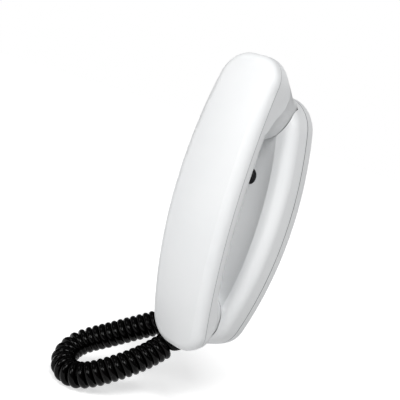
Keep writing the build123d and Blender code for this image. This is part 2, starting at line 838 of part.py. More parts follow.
with BuildPart() as microphone_holder:
    add(disc(cup_face + handset_wall + 0.02, microphone_radius + 1.8, 5.4, 0, mouth_centre))
    fillet(microphone_holder.faces().sort_by(Axis.Y)[0].edges(), 0.6)
    add(disc(microphone_front - 0.02, microphone_radius + 0.03, 6.0, 0, mouth_centre), mode=Mode.SUBTRACT)
    add(disc(cup_face, 3.4, 4.0, 0, mouth_centre), mode=Mode.SUBTRACT)
microphone_holder.part.label = "microphone_holder"
export_step(microphone_holder.part, "parts/microphone_holder.step")


# Steel weight under the middle of the grip, which makes the handset heavy enough for the hook

weight_seat = bar_point(0, arch_over(0, handset_wall - grip_depth) + 0.05)
weight_plane = Plane(origin=tuple(weight_seat), x_dir=(1, 0, 0), z_dir=tuple(outward))

with BuildPart() as grip_weight:
    with BuildSketch(weight_plane):
        RectangleRounded(20.0, 48.0, 2.0)
    extrude(amount=4.0)
    chamfer(grip_weight.faces().sort_by(Axis(tuple(chord_middle), tuple(outward)))[-1].edges(), 0.5)
grip_weight.part.label = "grip_weight"
export_step(grip_weight.part, "parts/grip_weight.step")


# Cord bush in the handset's lower end

def handset_gland_plane(height):
    """Sketch plane square to the lead, facing down out of the handset's lower end."""
    return Plane(origin=(0, -handset_gland_front, height), x_dir=(1, 0, 0), z_dir=(0, 0, -1))


gland_top = -86.6
gland_neck_top = -87.9
gland_seat = -94.6
gland_collar = 0.8
elbow_radius = 2.7
elbow_reach = 3.3
elbow = Vector(0, -handset_gland_front, -95.9)
handset_heading = Vector(-0.80, -0.25, -0.55).normalized()
handset_exit = elbow + handset_heading * elbow_reach

with BuildPart() as handset_cord_bush:
    with BuildSketch(handset_gland_plane(gland_neck_top)):
        Circle(gland_hole - 0.05)
    extrude(amount=gland_neck_top - gland_seat)
    with BuildSketch(handset_gland_plane(gland_seat)):
        Circle(3.3)
    extrude(amount=gland_collar)
    with Locations(tuple(elbow)):
        Sphere(elbow_radius)
    with BuildSketch(Plane(origin=tuple(elbow), z_dir=tuple(handset_heading))):
        Circle(wire / 2 + 0.4)
    extrude(amount=elbow_reach)
    with BuildSketch(handset_gland_plane(gland_top)):
        Circle(2.9)
    extrude(amount=gland_top - gland_neck_top)
handset_cord_bush.part.label = "handset_cord_bush"
export_step(handset_cord_bush.part, "parts/handset_cord_bush.step")


# Leads inside the handset: one to the microphone, one along the grip to the receiver

def lead(points, radius, start_heading, end_heading):
    """Soft lead as one tube along a smooth line through the points."""
    places = [tuple(Vector(point)) for point in points]
    with BuildPart() as block:
        with BuildLine() as path:
            Spline(*places, tangents=(start_heading, end_heading))
        with BuildSketch(Plane(origin=places[0], z_dir=start_heading)):
            Circle(radius)
        sweep(path=path.wires()[0])
    return block.part


lead_radius = 0.8
up = (0, 0, 1)
inward = (0, 1, 0)

with BuildPart() as microphone_lead:
    add(lead(
        [(-1.2, -handset_gland_front, gland_top + 0.05), (-2.0, -29.5, -82.0), (-1.6, -21.8, mouth_centre)],
        lead_radius, up, inward,
    ))
microphone_lead.part.label = "microphone_lead"
export_step(microphone_lead.part, "parts/microphone_lead.step")

with BuildPart() as receiver_lead:
    add(lead(
        [
            (1.2, -handset_gland_front, gland_top + 0.05),
            bar_point(-84, arch_over(-84, -3.5), 4.0),
            bar_point(-62, arch_over(-62, -4.5), 11.0),
            bar_point(-36, arch_over(-36, -4.5), 14.0),
            bar_point(0, arch_over(0, -4.5), 14.5),
            bar_point(36, arch_over(36, -4.5), 14.0),
            bar_point(58, arch_over(58, -7.0), 10.0),
            (5.0, -receiver_front - receiver_depth - 0.05, ear_centre),
        ],
        lead_radius, up, inward,
    ))
receiver_lead.part.label = "receiver_lead"
export_step(receiver_lead.part, "parts/receiver_lead.step")


# Lead inside the base, from the cord's bush to a plug in the socket on the board

plug_front = board_top + 4.55
plug_depth = 3.05
plug_z = 3.8
gland_inside = gland_foot + gland_out * (bottom_radius - 5.05)

with BuildPart() as base_leads:
    add(slab(plug_front, 10.0, plug_z, plug_depth, socket_x, socket_z))
    add(lead(
        [
            gland_inside,
            (-14.5, -6.6, -73.0),
            (-19.0, -5.6, -55.0),
            (-22.0, -9.5, -36.0),
            (-20.5, -11.6, -16.0),
            (-20.0, -12.6, 0.0),
            (socket_x, -plug_front - 1.75, socket_z - plug_z / 2),
        ],
        1.1, tuple(-gland_out), up,
    ))
base_leads.part.label = "base_leads"
export_step(base_leads.part, "parts/base_leads.step")


# Curly cord: its curls as one unbroken tube from the handset's bush to the base's bush

steps_per_corner = 40
curl_radius = (curl_outer - wire) / 2
smoothing = 15


def axis_line(route):
    """Points of the smooth line that a chain of parabolas makes inside the route's corners."""
    line = []
    last = len(route) - 2
    for i in range(1, last + 1):
        corner = Vector(*route[i])
        start = Vector(*route[0]) if i == 1 else (Vector(*route[i - 1]) + corner) / 2
        end = Vector(*route[-1]) if i == last else (corner + Vector(*route[i + 1])) / 2
        for k in range(steps_per_corner + (i == last)):
            t = k / steps_per_corner
            line.append(start * (1 - t) ** 2 + corner * (2 * t * (1 - t)) + end * t ** 2)
    return line


def averages(values, reach):
    """Running averages over reach values on each side."""
    spans = [values[max(i - reach, 0):i + reach + 1] for i in range(len(values))]
    return [sum(span) / len(span) for span in spans]


middle = axis_line(cord_route)
count = len(middle)
run = [0.0]
for start, end in zip(middle, middle[1:]):
    run.append(run[-1] + (end - start).length)
course = [(middle[min(i + 1, count - 1)] - middle[max(i - 1, 0)]).normalized() for i in range(count)]

# A side direction is carried along the line without twist. It starts towards the wall
side = [Vector(0, 1, 0)]
for direction in course:
    side.append((side[-1] - direction * side[-1].dot(direction)).normalized())
side = side[1:]

# The curls open out on the outside of a bend, so that they keep their gap on its inside
bend = []
for i in range(count):
    low = max(i - 4, 0)
    high = min(i + 4, count - 1)
    bend.append((course[high] - course[low]).length / (run[high] - run[low]))
for i in range(3):
    bend = averages(bend, smoothing)
density = [1 - curl_radius * value for value in bend]
turn = [0.0]
for i in range(1, count):
    turn.append(turn[-1] + (density[i] + density[i - 1]) / 2 * (run[i] - run[i - 1]))
turn = [value * curls / turn[-1] for value in turn]


def curl_point(turns):
    """Point on the curls after a number of turns from the handset."""
    turns = min(max(turns, 0.0), curls)
    low = 0
    high = count - 1
    while high - low > 1:
        half = (low + high) // 2
        if turn[half] <= turns:
            low = half
        else:
            high = half
    share = (turns - turn[low]) / (turn[high] - turn[low])
    centre = middle[low] + (middle[high] - middle[low]) * share
    direction = (course[low] + (course[high] - course[low]) * share).normalized()
    across = side[low] + (side[high] - side[low]) * share
    across = (across - direction * across.dot(direction)).normalized()
    angle = 2 * pi * turns + radians(first_curl)
    return centre + (across * cos(angle) + direction.cross(across) * sin(angle)) * curl_radius


def curl_heading(turns):
    """Direction of the wire after a number of turns."""
    return (curl_point(turns + 0.004) - curl_point(turns - 0.004)).normalized()


def biarc(start, start_heading, end, end_heading):
    """Meeting point and heading of the two arcs that join two headings smoothly."""
    gap = end - start
    both = gap.dot(start_heading + end_heading)
    spread = 2 * (1 - start_heading.dot(end_heading))
    if spread < 1e-9:
        reach = gap.dot(gap) / (4 * gap.dot(end_heading))
    else:
        reach = (sqrt(both ** 2 + spread * gap.dot(gap)) - both) / spread
    meeting = (start + end + (start_heading - end_heading) * reach) / 2
    return meeting, (end - end_heading * reach - start - start_heading * reach).normalized()


base_exit = gland_foot + gland_out * bush_reach
knots = [(handset_exit, handset_heading), (handset_exit + handset_heading * wire, handset_heading)]
for k in range(round(curls * 2) + 1):
    knots.append((curl_point(k / 2), curl_heading(k / 2)))
knots.append((base_exit + gland_out * wire, -gland_out))
knots.append((base_exit, -gland_out))

# Each arc is its start, its heading there and its end
arcs = []
for (start, start_heading), (end, end_heading) in zip(knots, knots[1:]):
    if (end - start).normalized().dot(start_heading + end_heading) > 1.999999:
        arcs.append((start, start_heading, end))
    else:
        meeting, meeting_heading = biarc(start, start_heading, end, end_heading)
        arcs.append((start, start_heading, meeting))
        arcs.append((meeting, meeting_heading, end))


def arc_turn(start, heading, end):
    """Angle that an arc turns through."""
    chord = (end - start).normalized()
    return 2 * acos(min(chord.dot(heading), 1.0))


with BuildPart() as curly_cord:
    with BuildLine() as curl_path:
        for start, heading, end in arcs:
            if arc_turn(start, heading, end) < 1e-5:
                Line(start, end)
            else:
                TangentArc(start, end, tangent=heading)
    with BuildSketch(Plane(origin=tuple(handset_exit), z_dir=tuple(handset_heading))):
        Circle(wire / 2)
    sweep(path=curl_path.wires()[0])
curly_cord.part.label = "curly_cord"
export_step(curly_cord.part, "parts/curly_cord.step")

# The cord's length, and the least gap that it keeps to itself, measured on points
marks = []
reached = 0.0
for edge in curl_path.wires()[0].order_edges():
    for k in range(8):
        marks.append((reached + edge.length * k / 8, edge @ (k / 8)))
    reached += edge.length
places = [(along_cord, point.X, point.Y, point.Z) for along_cord, point in marks]
nearest = 1000.0
for i, (s, x, y, z) in enumerate(places):
    for t, u, v, w in places[i + 1:]:
        if t - s > 4 * wire:
            nearest = min(nearest, (x - u) ** 2 + (y - v) ** 2 + (z - w) ** 2)
print("cord length", round(reached, 1), "mm, least gap to itself", round(sqrt(nearest) - wire, 3), "mm")
print("lowest point of the cord", round(curly_cord.part.bounding_box().min.Z, 2))
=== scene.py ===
# %% [markdown]
# A wall intercom phone, dressed for its picture
#
# The phone is a white handset that hangs on a leaf-shaped wall base, with a black curly cord
# between them. The CAD model already holds every rigid piece in its right place and size, so
# this script keeps those pieces and works on what CAD doesn't give: the plastics, the metal and
# the rubber, the soft cord, and the light.
#
# The first cell loads the CAD model as a fixed frame. Nothing in it is ever moved.

# %% Load the frame
import json
from bisect import bisect_right
from math import cos, pi, radians, sin
import bmesh
import bpy
from mathutils import Matrix, Vector


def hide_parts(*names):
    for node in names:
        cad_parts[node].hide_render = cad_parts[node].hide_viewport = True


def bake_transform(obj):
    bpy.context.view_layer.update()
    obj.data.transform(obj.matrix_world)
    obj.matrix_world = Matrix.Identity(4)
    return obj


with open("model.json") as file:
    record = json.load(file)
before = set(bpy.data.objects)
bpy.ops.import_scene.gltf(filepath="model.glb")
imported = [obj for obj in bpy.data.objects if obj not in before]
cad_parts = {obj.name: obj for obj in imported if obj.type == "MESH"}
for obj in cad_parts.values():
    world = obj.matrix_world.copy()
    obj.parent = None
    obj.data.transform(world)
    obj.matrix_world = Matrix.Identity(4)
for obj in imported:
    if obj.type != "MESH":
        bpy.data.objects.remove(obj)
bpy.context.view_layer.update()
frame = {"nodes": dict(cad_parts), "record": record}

nodes = frame["nodes"]

# %% [markdown]
# The camera
#
# The photograph looks at the phone from its right front and a little above its middle. The
# camera was turned about its own axis, so that the phone's top leans to the right. A camera can
# be placed by a location and three Euler angles, but here its three directions are given as they
# are: right, up, and back from what it looks at. That keeps the turned frame readable, because
# each is a plain direction in the phone's own axes (X right, Z up, the front towards -Y).

# %% Place the camera
LENS = 60.97
SENSOR_WIDTH = 36.0
NEAREST_SEEN = 0.01
FARTHEST_SEEN = 50.0
camera_location = Vector((0.2734, -0.4107, 0.0661))
camera_right = Vector((0.72418, 0.61902, 0.30386))
camera_up = Vector((-0.31347, -0.09694, 0.94464))
camera_back = Vector((0.6142, -0.7793, 0.12385))


def link(data, name):
    """A new object for a camera, curve, mesh or lamp, shown in the scene."""
    holder = bpy.data.objects.new(name, data)
    bpy.context.scene.collection.objects.link(holder)
    return holder


camera_data = bpy.data.cameras.new("photo_camera")
camera_data.lens = LENS
camera_data.sensor_width = SENSOR_WIDTH
camera_data.sensor_fit = "HORIZONTAL"
camera_data.clip_start = NEAREST_SEEN
camera_data.clip_end = FARTHEST_SEEN
camera_data.dof.use_dof = False
camera = link(camera_data, "photo_camera")
turned = Matrix((camera_right, camera_up, camera_back)).transposed().to_4x4()
camera.matrix_world = Matrix.Translation(camera_location) @ turned
bpy.context.scene.camera = camera
print("camera at", [round(value, 3) for value in camera_location], "with a", LENS, "mm lens")

# %% [markdown]
# The curly cord
#
# A handset cord is a thin black vinyl lead wound on a rod and baked, so that it springs back
# into curls, here a little under four times as wide as the wire. It leaves the handset's lower
# end, makes a loop to the left that just rests on the floor below, and comes back into the base.
#
# It could be a curve with a bevel, but it is built as a mesh. The line that the middle of the
# curls follows is a smooth NURBS curve first, with the same corners as in the CAD model. Its order
# is set after its points are added, or it would stay a chain of straight runs.

# %% Draw the line that the curls go round
MILLIMETRE = 0.001
WIRE = 5.2 * MILLIMETRE
CURL_OUTER = 18.8 * MILLIMETRE
CURLS = 33.5
FIRST_CURL = radians(210)
CURVE_ORDER = 3
STEPS_PER_SPAN = 48

CORD_ROUTE = [
    (-13.7, -33.0, -102.0),
    (-15.5, -43.5, -108.8),
    (-19.0, -55.0, -115.5),
    (-26.0, -66.0, -123.5),
    (-35.0, -76.0, -131.5),
    (-44.0, -82.0, -136.0),
    (-56.0, -82.5, -136.5),
    (-65.5, -77.0, -133.0),
    (-69.0, -67.0, -126.5),
    (-64.5, -57.5, -120.0),
    (-53.5, -49.0, -111.5),
    (-43.0, -40.5, -102.5),
    (-30.5, -28.0, -92.0),
]


def smooth_line(name, points, steps):
    """Points along a NURBS curve through a route's corners, read from a curve with no bevel."""
    data = bpy.data.curves.new(name, "CURVE")
    data.dimensions = "3D"
    data.resolution_u = steps
    spline = data.splines.new("NURBS")
    spline.points.add(len(points) - 1)
    for target, point in zip(spline.points, points):
        target.co = (*point, 1.0)
    spline.order_u = CURVE_ORDER
    spline.use_endpoint_u = True
    holder = link(data, name)
    bpy.context.view_layer.update()
    mesh = bpy.data.meshes.new_from_object(holder)
    line = [vertex.co.copy() for vertex in mesh.vertices]
    bpy.data.objects.remove(holder)
    bpy.data.curves.remove(data)
    bpy.data.meshes.remove(mesh)
    return line


route = [Vector(point) * MILLIMETRE for point in CORD_ROUTE]
middle = smooth_line("cord_middle", route, STEPS_PER_SPAN)
travelled = [0.0]
for here, there in zip(middle, middle[1:]):
    travelled.append(travelled[-1] + (there - here).length)
print("line of the curls:", len(middle), "points,", round(travelled[-1], 4), "m")

# %% [markdown]
# Winding the curls
#
# A helix round a bent line needs a sideways direction that is carried along the line without
# twisting. Each step takes the last sideways direction and takes out what lies along the line.
#
# The cord hangs slack, so its curls lie close together all along. On the inside of a bend they
# press together even more, and could run into each other. So the turns are counted with a slight
# weight: fewer of them where the line bends more. How much it bends is measured over a short
# stretch and then averaged, because a jump in it would show as a gap between two curls.

# %% Wind the curls round the line
CURL_RADIUS = (CURL_OUTER - WIRE) / 2
STEPS_PER_CURL = 30
BEND_REACH = 5
AVERAGE_REACH = 18
AVERAGE_ROUNDS = 3
THINNING = 0.3
last = len(middle) - 1
course = [(middle[min(i + 1, last)] - middle[max(i - 1, 0)]).normalized() for i in range(last + 1)]
carried = Vector((0, 1, 0))
sideways = []
for direction in course:
    carried = (carried - direction * carried.dot(direction)).normalized()
    sideways.append(carried)


def running_average(values, reach):
    """Each value averaged with its neighbours, which rounds off a rough measure."""
    spans = [values[max(i - reach, 0):i + reach + 1] for i in range(len(values))]
    return [sum(span) / len(span) for span in spans]


bend = []
for i in range(last + 1):
    low, high = max(i - BEND_REACH, 0), min(i + BEND_REACH, last)
    bend.append((course[high] - course[low]).length / (travelled[high] - travelled[low]))
for _ in range(AVERAGE_ROUNDS):
    bend = running_average(bend, AVERAGE_REACH)
weight = [1 - THINNING * CURL_RADIUS * value for value in bend]
turned_by = [0.0]
for i in range(1, last + 1):
    step = travelled[i] - travelled[i - 1]
    turned_by.append(turned_by[-1] + (weight[i] + weight[i - 1]) / 2 * step)
turned_by = [value * CURLS / turned_by[-1] for value in turned_by]


def curl_point(turns):
    """Where the wire is after a number of turns from the handset."""
    high = min(bisect_right(turned_by, turns), last)
    low = high - 1
    share = (turns - turned_by[low]) / (turned_by[high] - turned_by[low])
    centre = middle[low].lerp(middle[high], share)
    direction = course[low].lerp(course[high], share).normalized()
    across = sideways[low].lerp(sideways[high], share)
    across = (across - direction * across.dot(direction)).normalized()
    angle = 2 * pi * turns + FIRST_CURL
    return centre + (across * cos(angle) + direction.cross(across) * sin(angle)) * CURL_RADIUS


curl_count = round(CURLS * STEPS_PER_CURL)
curl_line = [curl_point(i / STEPS_PER_CURL) for i in range(curl_count + 1)]
print("curls:", CURLS, "drawn with", len(curl_line), "points")

# %% [markdown]
# The straight ends of the cord
#
# At each end the baked curls stop and a short straight lead goes into a rubber bush. The lead
# leaves the bush square to its face and swings into the first curl. A cubic curve between the
# two does that in one smooth sweep: its ends are set by two points, and its bends by how firmly
# it leaves one end and arrives at the other, as a share of the distance between them. The bushes
# stand where the CAD model has them, so their places are the same numbers here.

# %% Join the curls to the two bushes
HANDSET_ELBOW = Vector((0.0, -30.5, -95.9))
ELBOW_REACH = 3.3
HANDSET_HEADING = Vector((-0.80, -0.25, -0.55)).normalized()
HANDSET_EXIT = (HANDSET_ELBOW + HANDSET_HEADING * ELBOW_REACH) * MILLIMETRE
LOWER_END_MIDDLE = Vector((0.0, -10.5, -68.0)) * MILLIMETRE
BASE_BUSH_REACH = 28.5
BASE_TURN = radians(215)
BASE_HEADING = Vector((cos(BASE_TURN), 0, sin(BASE_TURN)))
BASE_EXIT = LOWER_END_MIDDLE + BASE_HEADING * BASE_BUSH_REACH * MILLIMETRE
LEAVE_HANDSET = 0.45
LEAVE_CURLS = 0.6
ARRIVE = 0.45
SWEEP_STEPS = 14
STRAIGHT_STEPS = 4
HANDSET_STRAIGHT = 0.6 * WIRE


def sweep_between(start, start_heading, end, end_heading, leave):
    """Points of one cubic sweep from start towards end, without its last one."""
    reach = (end - start).length
    first = start + start_heading * reach * leave
    second = end - end_heading * reach * ARRIVE
    points = []
    for i in range(SWEEP_STEPS):
        t = i / SWEEP_STEPS
        s = 1 - t
        points.append(
            start * s ** 3
            + first * 3 * s * s * t
            + second * 3 * s * t * t
            + end * t ** 3
        )
    return points


def straight(start, heading, length):
    """Evenly spaced points of a straight stretch, without its last one."""
    return [start + heading * length * i / STRAIGHT_STEPS for i in range(STRAIGHT_STEPS)]


in_heading = (curl_line[1] - curl_line[0]).normalized()
out_heading = (curl_line[-1] - curl_line[-2]).normalized()
handset_foot = HANDSET_EXIT + HANDSET_HEADING * HANDSET_STRAIGHT
base_foot = BASE_EXIT + BASE_HEADING * WIRE
cord_line = straight(HANDSET_EXIT, HANDSET_HEADING, HANDSET_STRAIGHT)
cord_line += sweep_between(
    handset_foot, HANDSET_HEADING, curl_line[0], in_heading, LEAVE_HANDSET
)
cord_line += curl_line[:-1]
cord_line += sweep_between(
    curl_line[-1], out_heading, base_foot, -BASE_HEADING, LEAVE_CURLS
)
cord_line += straight(base_foot, -BASE_HEADING, WIRE)
cord_line.append(BASE_EXIT)

# %% [markdown]
# From a line to a tube
#
# The tube is a ring of points at every step of the line, joined to the next ring. The ring's
# own sideways direction is carried along in the same way as before, so the surface doesn't
# twist. The two ends are closed, because they stand in their bushes.

# %% Build the cord as a tube
TUBE_SIDES = 16


def tube(name, points, radius, sides):
    """A closed tube along points, smooth shaded."""
    build = bmesh.new()
    end = len(points) - 1
    across = (points[1] - points[0]).normalized().orthogonal().normalized()
    rings = []
    for i, point in enumerate(points):
        heading = (points[min(i + 1, end)] - points[max(i - 1, 0)]).normalized()
        across = (across - heading * across.dot(heading)).normalized()
        upward = heading.cross(across)
        ring = []
        for k in range(sides):
            angle = 2 * pi * k / sides
            outward = across * cos(angle) + upward * sin(angle)
            ring.append(build.verts.new(point + outward * radius))
        rings.append(ring)
    for here, there in zip(rings, rings[1:]):
        for k in range(sides):
            build.faces.new((here[k], here[(k + 1) % sides], there[(k + 1) % sides], there[k]))
    build.faces.new(list(reversed(rings[0])))
    build.faces.new(rings[-1])
    bmesh.ops.recalc_face_normals(build, faces=build.faces)
    mesh = bpy.data.meshes.new(name)
    build.to_mesh(mesh)
    build.free()
    mesh.polygons.foreach_set("use_smooth", [True] * len(mesh.polygons))
    return link(mesh, name)


curly_cord_tube = tube("curly_cord_tube", cord_line, WIRE / 2, TUBE_SIDES)
print("cord tube:", len(curly_cord_tube.data.vertices), "vertices")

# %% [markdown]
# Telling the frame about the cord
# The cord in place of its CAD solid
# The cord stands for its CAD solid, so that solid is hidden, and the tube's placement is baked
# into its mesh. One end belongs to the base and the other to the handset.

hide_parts("curly_cord")
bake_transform(curly_cord_tube)

# %% [markdown]
# Materials: one small kit
#
# Every finish below is a Principled shader with a little unevenness fed into it: a noise that
# shifts the colour slightly, a finer noise that varies the gloss, and a bump for the grain. All
# textures use object coordinates, because the CAD pieces have no UV maps and keep their real
# size in metres, so a grain of half a millimetre is a scale of about 2000. Most of a noise's
# values lie near its middle, so it is spread over a narrow range to use both ends.

# %% Make the material kit
GLOSS_RANGE = (0.3, 0.7)
TONE_RANGE = (0.35, 0.65)


def new_material(name):
    """A new node material, its tree and its Principled shader."""
    material = bpy.data.materials.new(name)
    material.use_nodes = True
    tree = material.node_tree
    return material, tree, tree.nodes["Principled BSDF"]


def noise(tree, scale, detail, roughness=0.5):
    """A noise's factor, at a scale in cycles a metre, over object coordinates."""
    coordinates = tree.nodes.new("ShaderNodeTexCoord")
    texture = tree.nodes.new("ShaderNodeTexNoise")
    texture.inputs["Scale"].default_value = scale
    texture.inputs["Detail"].default_value = detail
    texture.inputs["Roughness"].default_value = roughness
    tree.links.new(coordinates.outputs["Object"], texture.inputs["Vector"])
    return texture.outputs["Fac"]


def ranged(tree, value, start, stop, low, high):
    """A number that goes from low to high while a value goes from start to stop."""
    span = tree.nodes.new("ShaderNodeMapRange")
    span.inputs["From Min"].default_value = start
    span.inputs["From Max"].default_value = stop
    span.inputs["To Min"].default_value = low
    span.inputs["To Max"].default_value = high
    tree.links.new(value, span.inputs["Value"])
    return span.outputs["Result"]


def two_tone(tree, factor, dark, light):
    """A colour that drifts between two near shades with a noise's factor."""
    ramp = tree.nodes.new("ShaderNodeValToRGB")
    for stop, place, shade in zip(ramp.color_ramp.elements, TONE_RANGE, (dark, light)):
        stop.position = place
        stop.color = (*shade, 1.0)
    tree.links.new(factor, ramp.inputs["Fac"])
    return ramp.outputs["Color"]


def uneven_gloss(tree, shader, factor, glossiest, dullest):
    """A roughness that varies with a noise's factor."""
    roughness = ranged(tree, factor, *GLOSS_RANGE, glossiest, dullest)
    tree.links.new(roughness, shader.inputs["Roughness"])


def bump(tree, shader, height, depth, strength=1.0, under=None):
    """A bump of a real depth in metres, on top of another one if it is given."""
    raised = tree.nodes.new("ShaderNodeBump")
    raised.inputs["Strength"].default_value = strength
    raised.inputs["Distance"].default_value = depth
    tree.links.new(height, raised.inputs["Height"])
    if under:
        tree.links.new(under.outputs["Normal"], raised.inputs["Normal"])
    tree.links.new(raised.outputs["Normal"], shader.inputs["Normal"])
    return raised


def plain_finish(name, dark, light, gloss, metal=0.0, drift=60.0, grain=1500.0, depth=0.00002):
    """A finish with two near shades, a pair of roughnesses and a fine grain."""
    material, tree, shader = new_material(name)
    shader.inputs["Metallic"].default_value = metal
    shade = two_tone(tree, noise(tree, drift, detail=3.0), dark, light)
    tree.links.new(shade, shader.inputs["Base Color"])
    fine = noise(tree, grain, detail=2.0)
    uneven_gloss(tree, shader, fine, *gloss)
    bump(tree, shader, fine, depth)
    return material


print("material kit: noise, range, two tones, gloss, bump and a plain finish")

# %% [markdown]
# The parting lines
#
# The handset and the base are made of two shells each, which meet in a fine gap. The gap between
# the shells is in the CAD model, but it is narrower than a pixel of the picture and its shade
# would hardly show. So the shade that falls into the gap is painted into the plastic's colour as a
# dark line, wider than the gap itself.
# Where a seam lies is worked out from object coordinates: the handset's lies at one distance
# from an axis across the phone, since its parting line is an arch, and the base's lies at one
# distance from the wall. Both distances are the CAD model's own.

# %% Find the seams in the plastic
SEEN_FROM_THE_SIDE = (0.0, 1.0, 1.0)
ARCH_CENTRE = (0.0, 0.25481, 0.026085)
ARCH_RADIUS = 0.31389
OUT_FROM_THE_WALL = (0.0, 1.0, 0.0)
ON_THE_WALL = (0.0, 0.0, 0.0)
PLATE_DEPTH = 7.0 * MILLIMETRE
HANDSET_SEAM = ARCH_RADIUS - 0.25 * MILLIMETRE
BASE_SEAM = PLATE_DEPTH + 0.2 * MILLIMETRE
# The seams' painted shadow: a dark grey, at full strength within the band's half width and fading
# out to its edge.
SEAM_SHADOW_HALF_WIDTH = 0.34 * MILLIMETRE
SEAM_SHADOW_EDGE = SEAM_SHADOW_HALF_WIDTH * 1.5
SEAM_SHADOW_STRENGTH = 0.75
PAINTED_SEAM_SHADOW = (0.16, 0.165, 0.175, 1.0)


def worked_out(tree, kind, operation, *values):
    """A maths node, with its inputs linked to sockets or set to plain values."""
    node = tree.nodes.new(kind)
    node.operation = operation
    for socket, value in zip(node.inputs, values):
        if isinstance(value, bpy.types.NodeSocket):
            tree.links.new(value, socket)
        else:
            socket.default_value = value
    return node


def painted_seam_shadow(tree, shade, axes, centre, reach):
    """The colour, darkened by a painted shadow where the distance from a centre, over some axes,
    is near reach.
    """
    place = tree.nodes.new("ShaderNodeTexCoord").outputs["Object"]
    flat = worked_out(tree, "ShaderNodeVectorMath", "MULTIPLY", place, axes)
    away = worked_out(
        tree, "ShaderNodeVectorMath", "DISTANCE", flat.outputs["Vector"], centre
    )
    past = worked_out(tree, "ShaderNodeMath", "SUBTRACT", away.outputs["Value"], reach)
    off = worked_out(tree, "ShaderNodeMath", "ABSOLUTE", past.outputs["Value"])
    amount = ranged(
        tree, off.outputs["Value"], SEAM_SHADOW_HALF_WIDTH, SEAM_SHADOW_EDGE, SEAM_SHADOW_STRENGTH, 0.0
    )
    mix = tree.nodes.new("ShaderNodeMix")
    mix.data_type = "RGBA"
    tree.links.new(amount, mix.inputs["Factor"])
    tree.links.new(shade, mix.inputs["A"])
    # The seam's painted shadow, a dark grey, is mixed into the plastic's colour here.
    mix.inputs["B"].default_value = PAINTED_SEAM_SHADOW
    return mix.outputs["Result"]


print("seams at", round(HANDSET_SEAM, 5), "and", round(BASE_SEAM, 5), "m")

# %% [markdown]
# White moulded plastic
#
# The shells are white ABS with a very fine spark-eroded grain, which gives a soft satin sheen with
# no sharp reflections. The tool's grain is about a third of a millimetre across and only
# hundredths of a millimetre deep. A second, broader noise stands for slight flow marks. The
# handset and the base have the same white, but each has the painted shadow of its own seam, so
# they are two materials.

# %% White plastic for the shells


def white_plastic(name, axes, centre, reach):
    """Satin white ABS with a fine tool grain, faint flow marks and a painted shadow along one
    seam.
    """
    material, tree, shader = new_material(name)
    drift = noise(tree, scale=22.0, detail=3.0)
    shade = two_tone(tree, drift, (0.845, 0.855, 0.862), (0.872, 0.880, 0.884))
    # The shadow in the seam is painted into the plastic's colour here.
    with_seam_shadow = painted_seam_shadow(tree, shade, axes, centre, reach)
    tree.links.new(with_seam_shadow, shader.inputs["Base Color"])
    shader.inputs["IOR"].default_value = 1.5
    grain = noise(tree, scale=2600.0, detail=3.0, roughness=0.6)
    uneven_gloss(tree, shader, grain, 0.40, 0.52)
    flow = noise(tree, scale=160.0, detail=2.0)
    waves = bump(tree, shader, flow, depth=0.00006, strength=0.5)
    bump(tree, shader, grain, depth=0.00003, strength=0.8, under=waves)
    return material


white_handset = white_plastic("white_handset", SEEN_FROM_THE_SIDE, ARCH_CENTRE, HANDSET_SEAM)
white_base = white_plastic("white_base", OUT_FROM_THE_WALL, ON_THE_WALL, BASE_SEAM)
print("made", white_handset.name, "and", white_base.name)

# %% [markdown]
# Black vinyl, black plastic and rubber
#
# The cord's vinyl is smooth and very dark, so that a curl shows as little more than a thin bright
# streak along its crest. Vinyl at its full shine would light up the sides of the curls too, so
# its reflection is held low. The release button is polished black plastic. The bushes are matt
# rubber.

# %% Black finishes


def black_vinyl():
    """Smooth, very dark vinyl with a low reflection."""
    material, tree, shader = new_material("black_vinyl")
    drift = noise(tree, scale=90.0, detail=3.0)
    shade = two_tone(tree, drift, (0.0004, 0.0003, 0.0003), (0.0010, 0.0008, 0.0008))
    tree.links.new(shade, shader.inputs["Base Color"])
    fine = noise(tree, scale=900.0, detail=3.0)
    uneven_gloss(tree, shader, fine, 0.15, 0.20)
    shader.inputs["Specular IOR Level"].default_value = 0.10
    bump(tree, shader, fine, depth=0.00002, strength=0.25)
    return material


def polished_black():
    """Polished black plastic with the faintest haze."""
    material, tree, shader = new_material("polished_black")
    drift = noise(tree, scale=120.0, detail=2.0)
    shade = two_tone(tree, drift, (0.006, 0.006, 0.007), (0.012, 0.012, 0.013))
    tree.links.new(shade, shader.inputs["Base Color"])
    haze = noise(tree, scale=700.0, detail=3.0)
    uneven_gloss(tree, shader, haze, 0.10, 0.17)
    bump(tree, shader, haze, depth=0.000008, strength=0.4)
    return material


vinyl = black_vinyl()
button_black = polished_black()
rubber = plain_finish(
    "black_rubber",
    dark=(0.016, 0.016, 0.017),
    light=(0.026, 0.026, 0.027),
    gloss=(0.55, 0.72),
    depth=0.00004,
)
black_plastic = plain_finish(
    "black_plastic",
    dark=(0.018, 0.018, 0.019),
    light=(0.030, 0.030, 0.031),
    gloss=(0.38, 0.5),
)
print("made", vinyl.name, button_black.name, rubber.name, black_plastic.name)

# %% [markdown]
# Metals and the small parts inside
#
# Screws are zinc plated, springs are drawn wire, and the weight in the grip is plain steel.
# Inside there are a green board, a green terminal block, and natural nylon, which is milky.

